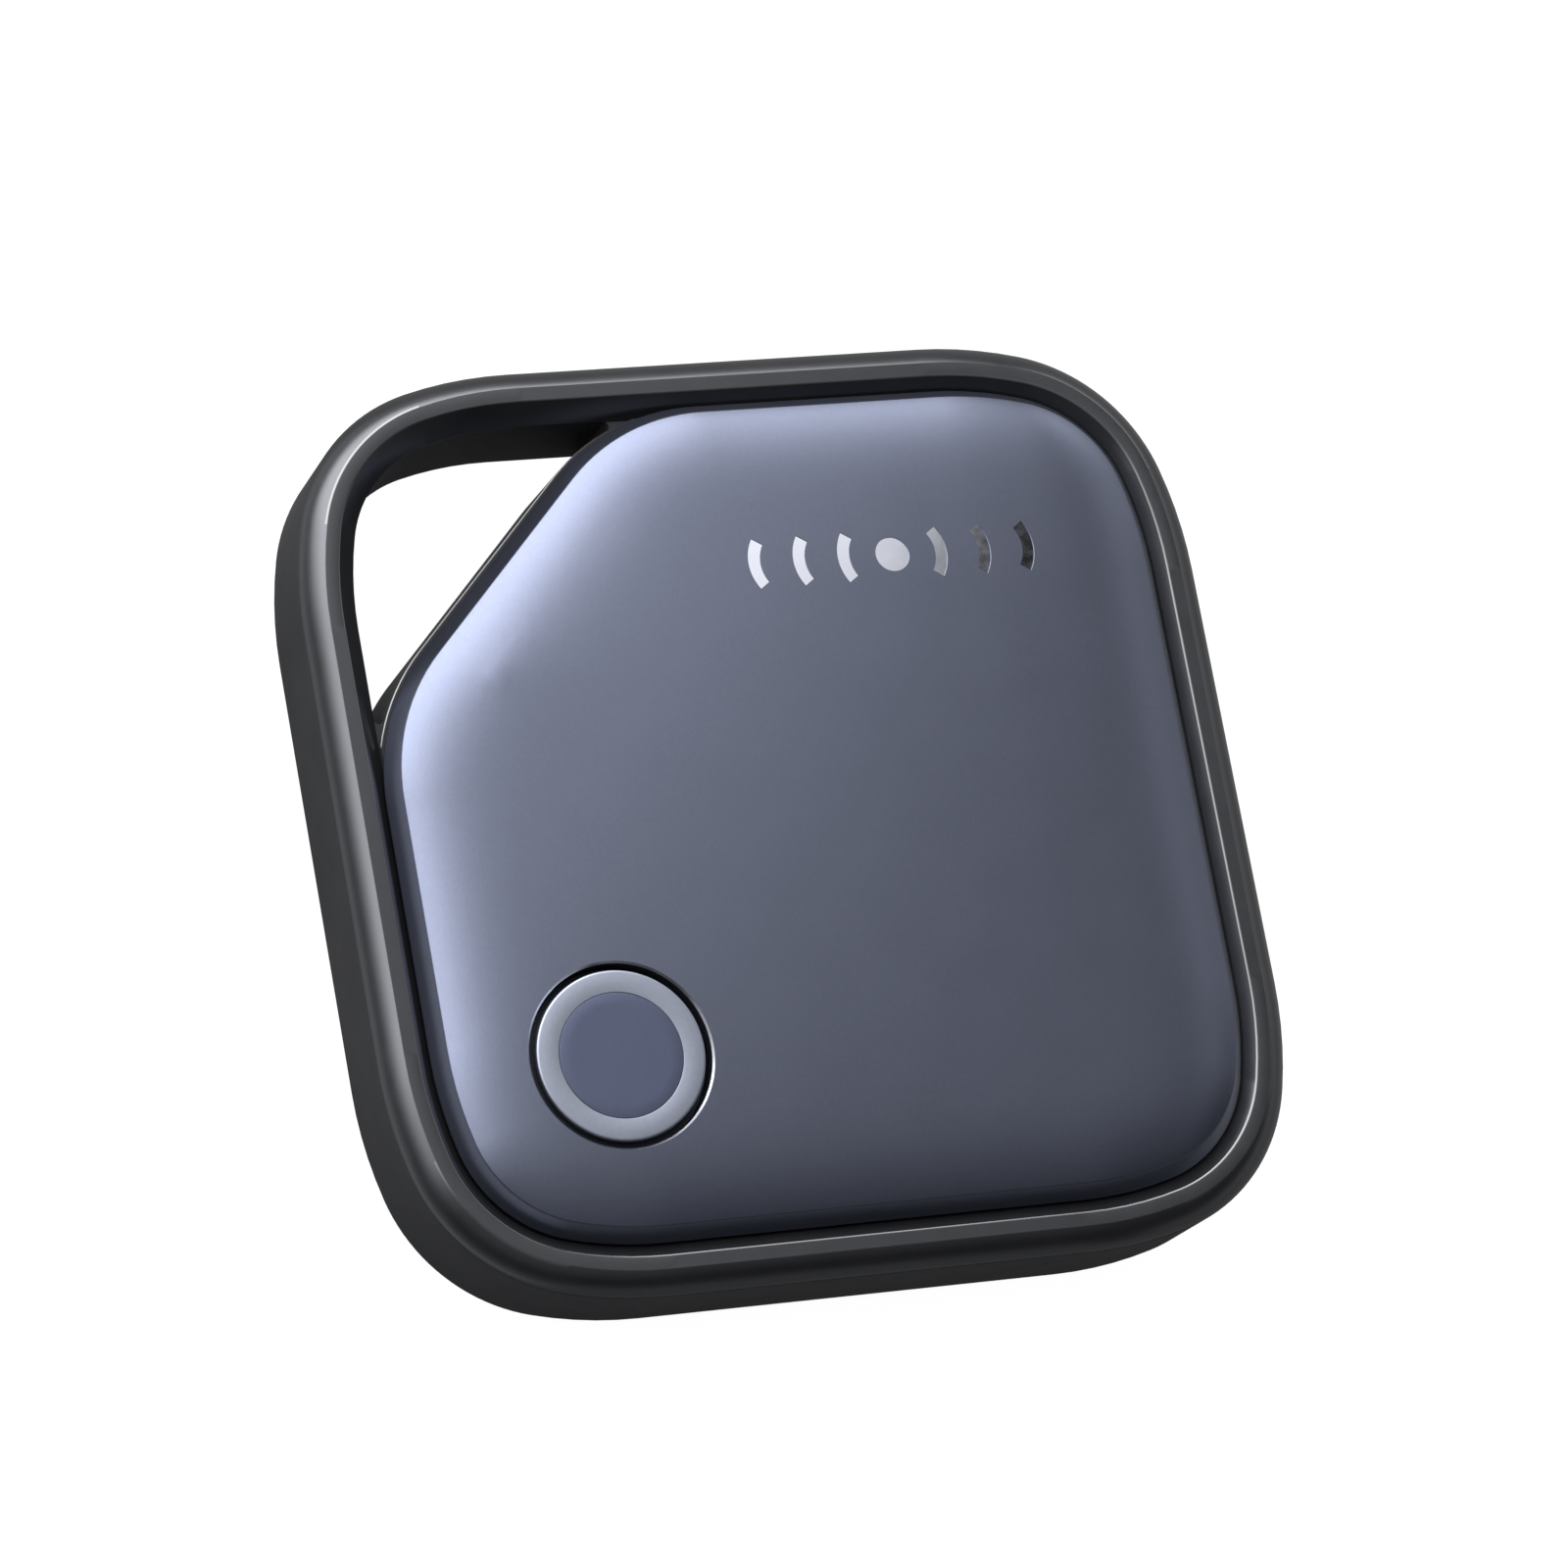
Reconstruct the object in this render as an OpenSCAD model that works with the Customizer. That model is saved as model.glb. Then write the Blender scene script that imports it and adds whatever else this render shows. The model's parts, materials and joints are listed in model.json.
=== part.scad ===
// Bluetooth tracker tag: a square frame with a key-ring loop in one corner, a domed
// front cover with a press button, and a clip-on back that opens for a coin cell.
// The tag lies on its back: +Z is out of the front, +Y towards the top of the tag.
// Units are millimetres. The origin is the centre of the back, on the resting face.

/* [Frame] */
// Width and height of the square frame, at the seam
tag_w = 38; // [37.8:0.1:39]
// Radius of the middle of each corner of the frame
corner_r = 7.4; // [7.2:0.1:7.8]
// Radius of the soft run-in at each end of a corner
soft_r = 17; // [16:0.5:18]
// Angle that each soft run-in takes
soft_a = 15; // [13:1:17]
// Height of the side wall, from its back edge to the seam
wall_h = 4.1; // [4.1:0.1:4.4]
// Height of the front rim above the seam
rim_h = 0.85; // [0.8:0.05:0.9]

/* [Cover] */
// Distance of the chamfered corner from the middle of the tag
chamfer_d = 15.03; // [14.9:0.01:15.2]
// Radius where the chamfer runs into the sides
chamfer_r = 8.3; // [8:0.1:8.6]
// Slope of the dome at its edge, in degrees
edge_slope = 25; // [22:1:26]
// Slope of the dome where its edge roll ends, in degrees
mid_slope = 11; // [9:1:12]
// Slope of the dome where the flat crown begins, in degrees
crown_slope = 2; // [1.5:0.1:2.4]

/* [Button] */
// Distance of the button from the middle of the tag, along X and along Y
button_d = 9.75; // [9.5:0.05:10]
// Radius of the bright ring round the button
button_r = 3.42; // [3.4:0.02:3.5]
// Radius of the disc inside the ring
disc_r = 2.5; // [2.4:0.05:2.6]
// How far the button travels
button_travel = 0.25; // [0.15:0.05:0.25]

/* [Back] */
// How far the back stands out behind the frame
back_proud = 1.2; // [1.2:0.05:1.3]
// Diameter of the coin cell
cell_d = 20; // [19.8:0.1:20]
// Thickness of the coin cell
cell_h = 3.2; // [3.1:0.1:3.2]
// Diameter of the sounder plate
piezo_d = 10.3; // [9.8:0.1:10.3]

/* [Hidden] */
$fn = 96;
eps = 0.01;

// Half widths, measured on the straight sides from the middle of the tag
half = tag_w / 2;
wall_draft = 0.13;
rim_flat_out = half - 0.9;
rim_flat_in = half - 1.46;
loop_in = half - 2.26;
dome_edge = half - 2.55;
cover_flare = half - 2.02;
cover_flange = half - 2.45;
hole_bar = half - 1.9;
board_bay = half - 3.15;
board_edge = half - 3.45;
lower_bay = half - 4.5;
seal_seat = half - 4.05;
back_edge = half - 3.5;

// Centre of a corner's middle arc, and how far each straight side reaches
corner_c = half - soft_r + (soft_r - corner_r) * cos(soft_a);
side_s = corner_c - (soft_r - corner_r) * sin(soft_a);

// Centres of the two arcs that run the chamfer into the sides: (-cham_x, cham_y) and its mirror
cham_y = dome_edge - chamfer_r;
cham_x = chamfer_d * sqrt(2) - cham_y - chamfer_r * sqrt(2);

// Heights
wall_z = back_proud;
seam_z = wall_z + wall_h;
rim_z = seam_z + rim_h;
flare_z = seam_z + 0.52;
edge_z = rim_z + 0.42;
seam_chamfer = 0.06;

// The dome: an edge roll and a softer roll, then a low crown
roll_run = 1.4;
soft_run = 3.2;
crown_a = dome_edge - roll_run - soft_run;
roll_r = roll_run / (sin(edge_slope) - sin(mid_slope));
soft_roll_r = soft_run / (sin(mid_slope) - sin(crown_slope));
crown_rise = crown_a * tan(crown_slope / 2);
roll_z = edge_z + roll_r * (cos(mid_slope) - cos(edge_slope));
crown_z = roll_z + soft_roll_r * (cos(crown_slope) - cos(mid_slope));
top_z = crown_z + crown_rise;

// The front rim's bead is an arc through the seam and the flat top
bead_low = 28.27;
bead_high = 65;
bead_r = (half - rim_flat_out) / (cos(bead_low) - cos(bead_high));
bead_x = half - bead_r * cos(bead_low);
bead_z = seam_z - bead_r * sin(bead_low);

// Inside
back_t = 1.0;
deck_z = 4.3;
deck_t = 0.3;
board_z = deck_z + deck_t;
board_t = 0.6;
parts_z = board_z + board_t;
glue_t = 0.12;
cell_c = [3.4, 3.4];
cell_z = back_t + 0.03;
well_r = cell_d / 2 + 0.25;
well_t = 0.75;
piezo_c = [-8.3, -8.3];
chamber_r = piezo_d / 2 + 0.15;
chamber_t = 0.75;
ledge_z = 3.15;
ledge_w = 0.8;
plate_t = 0.15;
screw_at = [[-12, 2.5], [12.2, 12.2], [11.9, -11.9]];
screw_r = 0.65;
screw_boss_r = 1.6;
lip_h = 2.4;
wall_low = lip_h + 0.1;
button_c = [-button_d, -button_d];
button_gap = 0.2;
crown_diag = corner_c + (crown_a - half + corner_r) / sqrt(2);
surface_z = crown_z + crown_rise * (1 - pow(button_d / crown_diag, 2));

function dir(a) = [cos(a), sin(a)];
function turn(p, a) = [p[0] * cos(a) - p[1] * sin(a), p[0] * sin(a) + p[1] * cos(a)];
function flip(p) = [-p[1], -p[0]];

// Points of an arc, from its first step to its last
function arc(c, r, a0, a1, n, first = 0) = [for (i = [first:n]) c + r * dir(a0 + (a1 - a0) * i / n)];

// ---------------------------------------------------------------- outlines
// Every outline runs a from the middle on its straight sides, so they stay parallel.

soft_n = 3;
corner_n = 8;
cham_n = 6;
middle_i = soft_n + corner_n / 2;

// One corner, from the straight side before it to the one after it
function corner_pts(a) = concat(
    arc([half - soft_r, side_s], a - half + soft_r, 0, soft_a, soft_n),
    arc([corner_c, corner_c], a - half + corner_r, soft_a, 90 - soft_a, corner_n, 1),
    arc([side_s, half - soft_r], a - half + soft_r, 90 - soft_a, 90, soft_n, 1)
);
function chamfer_pts(a) = concat(
    arc([-cham_x, cham_y], a - cham_y, 90, 135, cham_n),
    arc([-cham_y, cham_x], a - cham_y, 135, 180, cham_n)
);

// The frame's rounded square, and the cover's: the same with its top left corner cut off
function frame_pts(a) = [for (q = [0:3]) for (p = corner_pts(a)) turn(p, 90 * q)];
function cover_pts(a) = concat(
    corner_pts(a), chamfer_pts(a), [for (q = [2:3]) for (p = corner_pts(a)) turn(p, 90 * q)]
);

module frame_shape(a) {
    polygon(frame_pts(a));
}

module cover_shape(a) {
    polygon(cover_pts(a));
}

module cover_band(a_out, a_in) {
    difference() {
        cover_shape(a_out);
        cover_shape(a_in);
    }
}

// The key-ring loop's opening: between the frame and the chamfer, with rounded tips
tip_r = 0.22;
tip_y = loop_in - tip_r;
tip_x = -cham_x - sqrt(pow(hole_bar - cham_y + tip_r, 2) - pow(tip_y - cham_y, 2));
tip_a = atan2(cham_y - tip_y, -cham_x - tip_x);
loop_half = concat(
    arc([-cham_x, cham_y], hole_bar - cham_y, 135, tip_a + 180, cham_n),
    arc([tip_x, tip_y], tip_r, tip_a, 90, cham_n, 1),
    [for (i = [0:middle_i]) turn(corner_pts(loop_in)[i], 90)]
);
loop_pts = concat(loop_half, [for (i = [len(loop_half) - 2:-1:0]) flip(loop_half[i])]);

// ---------------------------------------------------------------- lofts
// A ring is an outline at a height. A loft joins rings that have the same number of points.

function frame_ring(a, z) = [for (p = frame_pts(a)) [p[0], p[1], z]];
function cover_ring(a, z) = [for (p = cover_pts(a)) [p[0], p[1], z]];

module loft(rings, closed = false) {
    n = len(rings[0]);
    count = len(rings);
    polyhedron(
        [for (r = rings) for (p = r) p],
        concat(
            [for (k = [0:count - (closed ? 1 : 2)]) for (i = [0:n - 1])
                [k * n + i, (k + 1) % count * n + i, (k + 1) % count * n + (i + 1) % n, k * n + (i + 1) % n]],
            closed ? [] : [[for (i = [0:n - 1]) i], [for (i = [n - 1:-1:0]) (count - 1) * n + i]]
        )
    );
}

module at(c, z = 0) {
    translate([c[0], c[1], z]) children();
}

module ring(r_out, r_in, h) {
    linear_extrude(h) difference() {
        circle(r_out);
        circle(r_in);
    }
}

module block(c, z, size) {
    translate([c[0] - size[0] / 2, c[1] - size[1] / 2, z]) cube(size);
}

// ---------------------------------------------------------------- frame

tongue_in = half - 1.45;
tongue_out = half - 0.85;
tongue_h = 0.6;
groove_gap = 0.05;

bead_n = 5;

module front_bezel() {
    profile = concat(
        [
            [loop_in, seam_z], [tongue_in, seam_z], [tongue_in, seam_z - tongue_h],
            [tongue_out, seam_z - tongue_h], [tongue_out, seam_z]
        ],
        arc([bead_x, bead_z], bead_r, bead_low, bead_high, bead_n),
        [[rim_flat_in, rim_z], [loop_in, rim_z - rim_flat_in + loop_in]]
    );
    color("#3d3e42") loft([for (p = profile) frame_ring(p[0], p[1])], closed = true);
}

lip_z = seam_z + 0.25;
lip_in = half - 2.38;
notch_r = 4;
chassis_gap = 0.05;

module rear_housing() {
    color("#2e2f32") difference() {
        union() {
            loft([
                frame_ring(half - wall_draft - 0.1, wall_z), frame_ring(half - wall_draft, wall_z + 0.1),
                frame_ring(half, seam_z - seam_chamfer), frame_ring(half - seam_chamfer, seam_z)
            ]);
            translate([0, 0, seam_z - eps]) linear_extrude(lip_z - seam_z + eps) intersection() {
                cover_band(hole_bar, lip_in);
                frame_shape(loop_in - 0.03);
            }
        }
        translate([0, 0, -1]) linear_extrude(half) polygon(loop_pts);
        translate([0, 0, -1]) linear_extrude(deck_z + 1 + eps) cover_shape(lower_bay);
        translate([0, 0, deck_z]) linear_extrude(half) cover_shape(board_bay);
        translate([0, 0, -1]) linear_extrude(wall_z + 0.55 + 1) cover_shape(seal_seat);
        translate([0, 0, seam_z - tongue_h - groove_gap]) linear_extrude(1) difference() {
            frame_shape(tongue_out + groove_gap);
            frame_shape(tongue_in - groove_gap);
        }
        pry_recess();
    }
}

// Deck on the ledge inside the housing, with the walls that hang from it
module inner_chassis() {
    color("#292a2d") {
        difference() {
            translate([0, 0, deck_z]) linear_extrude(deck_t) cover_shape(board_bay - chassis_gap);
            deck_cuts();
            screw_pilots();
        }
        difference() {
            walls_under_deck();
            screw_pilots();
            contact_slot();
        }
    }
}

// Openings in the deck under the circuit board
module deck_cuts() {
    at(cell_c, deck_z - eps) cylinder(r = 6, h = deck_t + 2 * eps);
    at(piezo_c, deck_z - eps) cylinder(r = chamber_r - ledge_w, h = deck_t + 2 * eps);
    contact_slot();
}

// A fingernail recess beside the back cover, on the right
module pry_recess() {
    translate([back_edge + notch_r - 2.1, 0, wall_z - eps]) intersection() {
        cylinder(r = notch_r, h = 0.7);
        translate([-notch_r, -notch_r, 0]) cube([notch_r + 0.4, 2 * notch_r, 0.7]);
    }
}

module screw_pilots() {
    for (p = screw_at) at(p, wall_low + 0.2) cylinder(r = screw_r, h = 3);
}

contact_a = 135;
contact_w = 3.2;

module contact_slot() {
    at(cell_c) rotate(contact_a) translate([well_r - 0.25, -contact_w / 2 - 0.1, 1.6])
        cube([0.75, contact_w + 0.2, 5]);
}

// Battery well, sounder chamber and screw bosses, hanging from the deck
module walls_under_deck() {
    wall_h_in = deck_z - wall_low + eps;
    intersection() {
        union() {
            at(cell_c, wall_low) ring(well_r + well_t, well_r, wall_h_in);
            difference() {
                at(piezo_c, wall_low) cylinder(r = chamber_r + chamber_t, h = wall_h_in);
                at(piezo_c, wall_low - eps) cylinder(r = chamber_r, h = ledge_z - wall_low + eps);
                at(piezo_c, ledge_z - eps) cylinder(r = chamber_r - ledge_w, h = 2);
            }
            for (p = screw_at) at(p, wall_low) cylinder(r = screw_boss_r, h = wall_h_in);
        }
        translate([0, 0, 1]) linear_extrude(5) cover_shape(lower_bay - chassis_gap);
    }
}

// ---------------------------------------------------------------- cover

roll_n = 4;
soft_roll_n = 4;
crown_steps = [0.8, 0.6, 0.4, 0.2];

// Height of the crown at a fraction of the way out from its middle
function crown_h(s) = crown_z + crown_rise * (1 - s * s);

// Underside, flange and flared side, then the edge roll, the softer roll and the crown
module dome() {
    profile = concat(
        [
            [crown_a, seam_z + 1.15], [dome_edge - 1.6, seam_z + 0.85], [dome_edge - 0.9, seam_z + 0.5],
            [dome_edge - 0.7, seam_z + glue_t], [cover_flange, seam_z + glue_t],
            [cover_flange, seam_z + 0.36], [cover_flare, flare_z]
        ],
        arc([dome_edge - roll_r * sin(edge_slope), edge_z - roll_r * cos(edge_slope)],
            roll_r, 90 - edge_slope, 90 - mid_slope, roll_n),
        arc([crown_a - soft_roll_r * sin(crown_slope), crown_z - soft_roll_r * cos(crown_slope)],
            soft_roll_r, 90 - mid_slope, 90 - crown_slope, soft_roll_n, 1)
    );
    loft(concat(
        [for (p = profile) cover_ring(p[0], p[1])],
        [for (s = crown_steps) [for (p = cover_pts(crown_a)) [s * p[0], s * p[1], crown_h(s)]]]
    ));
}

barrel_r = button_r + button_gap;
barrel_low = 6.45;

module front_cover() {
    color("#696e82") difference() {
        union() {
            dome();
            at(button_c, barrel_low - 0.1) cylinder(r = barrel_r + 1.2, h = 0.5);
        }
        at(button_c, 5) cylinder(r = barrel_r, h = 5);
        at(button_c, surface_z - 0.12) cylinder(r1 = barrel_r, r2 = barrel_r + 0.36, h = 0.36);
        mark_plate(-mark_depth, 1);
    }
}

module cover_adhesive() {
    color("#c9c6bd") translate([0, 0, seam_z]) linear_extrude(glue_t)
        cover_band(cover_flange - 0.08, board_bay + 0.02);
}

// A generic radio mark, a dot between two sets of waves, let into the cover
mark_c = [5.25, 9.7];
mark_depth = 0.25;
mark_slope = 1.6;
wave_r = 1.9;
wave_w = 0.5;
wave_a = 34;

module wave(x) {
    translate([x - wave_r, 0]) intersection() {
        difference() {
            circle(wave_r);
            circle(wave_r - wave_w);
        }
        polygon([[0, 0], 3 * wave_r * dir(-wave_a), 3 * wave_r * dir(wave_a)]);
    }
}

module mark_shape() {
    circle(0.72);
    for (side = [0, 1]) mirror([side, 0]) for (k = [1:3]) wave(0.45 + 1.9 * k);
}

// The mark lies along the surface of the crown there
module mark_plate(low, high) {
    at(mark_c, crown_h(mark_c[1] / crown_a)) rotate([-mark_slope, 0, 0])
        translate([0, 0, low]) linear_extrude(high - low) mark_shape();
}

module signal_mark() {
    color("#b9bcc8") mark_plate(-mark_depth, -0.04);
}

// ---------------------------------------------------------------- button

ring_z = surface_z - 0.03;
carrier_z = 6.92;
flange_r = barrel_r + 0.35;
flange_top = 6.2;
flange_low = 5.96;
nub_low = 5.9;
nub_r = 0.7;

module button_ring() {
    color("#a7abb9") at(button_c) rotate_extrude() polygon([
        [disc_r + 0.02, carrier_z], [button_r, carrier_z], [button_r, ring_z - 0.09],
        [button_r - 0.09, ring_z], [disc_r + 0.02, ring_z]
    ]);
}

module button_disc() {
    color("#5d6179") at(button_c) rotate_extrude() polygon([
        [0, carrier_z], [disc_r, carrier_z], [disc_r, ring_z + 0.03],
        [disc_r - 0.04, ring_z + 0.07], [0, ring_z + 0.07]
    ]);
}

module button_plunger() {
    color("#33343a") at(button_c) rotate_extrude() polygon([
        [0, nub_low], [nub_r, nub_low], [nub_r, flange_low], [flange_r, flange_low],
        [flange_r, flange_top], [button_r - 0.1, flange_top],
        [button_r - 0.1, carrier_z], [0, carrier_z]
    ]);
}

module button_seal() {
    color("#1d1d1f") at(button_c, barrel_low) ring(barrel_r, button_r - 0.08, 0.17);
}

switch_size = [3.4, 3.0, 0.42];
switch_floor = 0.1;

module switch_base() {
    color("#24252a") difference() {
        block(button_c, parts_z, switch_size);
        at(button_c, parts_z + switch_floor) cylinder(r = 1.25, h = 1);
    }
}

module switch_plate() {
    color("#c9ccd0") difference() {
        block(button_c, parts_z + switch_size[2], [3.2, 2.8, 0.06]);
        at(button_c, parts_z) cylinder(r = 0.85, h = 2);
    }
}

module switch_actuator() {
    low = parts_z + switch_floor + button_travel + 0.02;
    color("#8f9196") at(button_c, low) {
        cylinder(r = 1.15, h = 0.04);
        cylinder(r = 0.75, h = nub_low - 0.02 - low);
    }
}

// ---------------------------------------------------------------- circuit board

module main_pcb() {
    color("#1f5c3d") difference() {
        translate([0, 0, board_z]) linear_extrude(board_t) cover_shape(board_edge);
        for (p = screw_at) at(p, board_z - 1) cylinder(r = screw_r + 0.1, h = 3);
        contact_slot();
        for (p = piezo_pin_at) at(p, board_z - 1) cylinder(r = 0.35, h = 3);
    }
}

module ble_chip() {
    color("#26272b") block([1.5, -5.5], parts_z, [5, 5, 0.8]);
}

module crystal() {
    color("#c2c5ca") {
        block([6.6, -6.8], parts_z, [2.5, 2.0, 0.5]);
        block([6.4, -3.6], parts_z, [2.0, 1.2, 0.55]);
    }
}

module chip_antenna() {
    color("#e4e0d4") block([12.6, -1], parts_z, [2.0, 5.2, 0.9]);
}

module inductor() {
    color("#4c4d52") block([-4.4, 0.5], parts_z, [2.5, 2.0, 0.9]);
}

module buzzer_driver() {
    color("#202125") block([-9.6, -2.4], parts_z, [2.0, 2.0, 0.6]);
}

passive_size = [1.0, 0.5, 0.4];
// Rows of capacitors and resistors: first one, step to the next, and how many
passive_rows = [
    [[-3, -9.6], [1.7, 0], 5], [[-2.9, -2.9], [0, -1.2], 4],
    [[9.4, -3.4], [0, 1.3], 3], [[-7.2, 0.2], [0, 1.4], 3]
];

module pcb_passives() {
    color("#9a8468") for (row = passive_rows) for (k = [0:row[2] - 1])
        block(row[0] + k * row[1], parts_z, passive_size);
}

module pcb_test_pads() {
    color("#c8a24a") for (k = [0:4]) at([-2.5 + 2.2 * k, 12.9], parts_z) cylinder(r = 0.6, h = 0.05);
}

module pcb_screws() {
    color("#8d9095") for (p = screw_at) at(p) difference() {
        rotate_extrude() polygon([
            [0, 2.75], [screw_r - 0.25, 2.75], [screw_r, 3.05], [screw_r, parts_z],
            [1.25, parts_z], [1.25, parts_z + 0.4], [1.05, parts_z + 0.6], [0, parts_z + 0.6]
        ]);
        for (a = [0, 90]) rotate(a) block([0, 0], parts_z + 0.3, [1.3, 0.3, 1]);
    }
}

// ---------------------------------------------------------------- contacts and cell

strip_t = 0.15;

// A bowed spring strip that stands in its slot and leans on the side of the can
module positive_contact() {
    back = well_r + 0.1;
    touch = cell_d / 2 + 0.03;
    color("#c7b37a") at(cell_c) rotate(contact_a) rotate([90, 0, 0])
        linear_extrude(contact_w, center = true) polygon([
            [back, parts_z + 0.25], [back, 3.7], [touch, 3.2], [touch, 3.0], [back, 2.5],
            [back + strip_t, 2.5], [touch + strip_t, 3.0], [touch + strip_t, 3.2],
            [back + strip_t, 3.7], [back + strip_t, parts_z + 0.25]
        ]);
}

// A leaf on the back of the board whose two arms lean on the cap of the cell
module negative_contact() {
    low = cell_z + cell_h + 0.02;
    color("#c7b37a") at(cell_c) rotate([90, 0, 0]) linear_extrude(3.4, center = true) polygon([
        [-5, low + 0.1], [-4.6, low], [-4, low], [-1.6, board_z - strip_t],
        [1.6, board_z - strip_t], [4, low], [4.6, low], [5, low + 0.1],
        [4.6, low + 0.1], [4.1, low + 0.1], [1.7, board_z], [-1.7, board_z],
        [-4.1, low + 0.1], [-4.6, low + 0.1]
    ]);
}

can_t = 0.25;
can_r = cell_d / 2;
cap_r = can_r - 1.3;

module cell_can() {
    color("#b9bcc0") at(cell_c, cell_z) rotate_extrude() polygon([
        [0, 0], [can_r - 0.3, 0], [can_r, 0.3], [can_r, cell_h - 0.5], [can_r - 0.4, cell_h - 0.15],
        [cap_r + 0.35, cell_h - 0.15], [cap_r + 0.35, cell_h - 0.4],
        [can_r - can_t, cell_h - 0.6], [can_r - can_t, can_t], [0, can_t]
    ]);
}

module cell_gasket() {
    color("#4a4d58") at(cell_c, cell_z) rotate_extrude() polygon([
        [cap_r, 1.2], [can_r - can_t, 1.2], [can_r - can_t, cell_h - 0.6],
        [cap_r + 0.35, cell_h - 0.4], [cap_r + 0.35, cell_h - 0.15], [cap_r, cell_h - 0.15]
    ]);
}

module cell_cap() {
    color("#a9acb0") at(cell_c, cell_z) rotate_extrude() polygon([
        [0, cell_h - can_t], [cap_r - can_t, cell_h - can_t], [cap_r - can_t, 1.4], [cap_r, 1.4],
        [cap_r, cell_h - 0.1], [cap_r - 0.15, cell_h], [0, cell_h]
    ]);
}

module cell_core() {
    color("#55565c") at(cell_c, cell_z + can_t) cylinder(r = cap_r - can_t, h = cell_h - 2 * can_t);
}

// ---------------------------------------------------------------- sounder

module piezo_plate() {
    color("#c9a75a") at(piezo_c, ledge_z - plate_t) cylinder(r = piezo_d / 2, h = plate_t);
}

module piezo_ceramic() {
    color("#dcd9cf") at(piezo_c, ledge_z) cylinder(r = 3.6, h = 0.15);
}

module piezo_gasket() {
    color("#3a3a3d") at(piezo_c, 1.95) ring(piezo_d / 2, 4.2, ledge_z - plate_t - 1.95);
}

// Two spring pins carry the sounder's drive from the board: one to the plate, one to the ceramic
piezo_pin_at = [piezo_c + [1.2, 0], piezo_c + [-4.0, 0.2]];

module piezo_pins() {
    color("#d2b25c") {
        at(piezo_pin_at[0], ledge_z + 0.15) cylinder(r = 0.3, h = board_z + board_t - ledge_z - 0.15);
        at(piezo_pin_at[1], ledge_z) cylinder(r = 0.3, h = board_z + board_t - ledge_z);
    }
}

// ---------------------------------------------------------------- back cover

lip_a = lower_bay - 0.05;
lip_t = 0.7;
hole_r = 0.45;

module sound_holes(r) {
    at(piezo_c, -1) cylinder(r = r, h = 4, $fn = 32);
    for (k = [0:5]) at(piezo_c + 1.9 * dir(60 * k), -1) cylinder(r = r, h = 4, $fn = 32);
}

module rear_cover() {
    color("#2b2c2f") difference() {
        union() {
            loft([
                cover_ring(back_edge - 0.75, 0), cover_ring(back_edge - 0.25, 0.2),
                cover_ring(back_edge, 0.6), cover_ring(back_edge, wall_z - 0.02),
                cover_ring(lip_a, wall_z - 0.02), cover_ring(lip_a, lip_h - 0.2),
                cover_ring(lip_a - 0.2, lip_h), cover_ring(lip_a - lip_t, lip_h),
                cover_ring(lip_a - lip_t, back_t)
            ]);
            at(piezo_c, back_t - eps) ring(piezo_d / 2 - 0.1, 4.3, 0.9 + eps);
        }
        sound_holes(hole_r);
    }
}

module rear_seal() {
    color("#6b6e75") translate([0, 0, wall_z - 0.02]) linear_extrude(0.45)
        cover_band(seal_seat - 0.08, lip_a);
}

module sound_mesh() {
    color("#4d4f55") at(piezo_c, back_t) cylinder(r = 3.4, h = 0.12);
}

front_bezel();
rear_housing();
inner_chassis();
front_cover();
cover_adhesive();
signal_mark();
button_ring();
button_disc();
button_plunger();
button_seal();
switch_base();
switch_plate();
switch_actuator();
main_pcb();
ble_chip();
crystal();
chip_antenna();
inductor();
buzzer_driver();
pcb_passives();
pcb_test_pads();
pcb_screws();
positive_contact();
negative_contact();
cell_can();
cell_gasket();
cell_cap();
cell_core();
piezo_plate();
piezo_ceramic();
piezo_gasket();
piezo_pins();
rear_cover();
rear_seal();
sound_mesh();
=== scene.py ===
"""The looks of the tracker tag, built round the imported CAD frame. Helpers work in millimetres."""

import json
import math

import bmesh
import bpy
import numpy as np
from mathutils import Matrix, Vector
from mathutils.geometry import delaunay_2d_cdt


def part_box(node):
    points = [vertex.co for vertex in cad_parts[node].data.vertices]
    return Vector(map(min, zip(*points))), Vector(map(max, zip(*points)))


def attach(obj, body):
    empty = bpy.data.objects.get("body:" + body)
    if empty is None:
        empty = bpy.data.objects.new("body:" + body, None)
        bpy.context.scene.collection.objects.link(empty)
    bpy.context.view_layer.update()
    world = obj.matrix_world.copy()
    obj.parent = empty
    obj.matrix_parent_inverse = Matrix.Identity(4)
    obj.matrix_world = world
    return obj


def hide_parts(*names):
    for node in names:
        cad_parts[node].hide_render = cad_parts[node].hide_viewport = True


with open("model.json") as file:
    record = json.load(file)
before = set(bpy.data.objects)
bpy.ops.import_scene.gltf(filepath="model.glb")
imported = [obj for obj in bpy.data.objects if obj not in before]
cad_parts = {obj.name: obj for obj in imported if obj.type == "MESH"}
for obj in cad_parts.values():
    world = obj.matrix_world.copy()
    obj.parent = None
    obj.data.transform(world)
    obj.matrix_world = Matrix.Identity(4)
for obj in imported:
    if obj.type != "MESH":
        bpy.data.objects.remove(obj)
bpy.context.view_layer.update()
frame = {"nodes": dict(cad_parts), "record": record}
MM = 0.001


# ---------------------------------------------------------------- sizes, from the CAD nodes


def box_mm(node):
    low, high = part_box(node)
    return low / MM, high / MM


def centre_mm(node):
    low, high = box_mm(node)
    return (low + high) / 2


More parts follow.
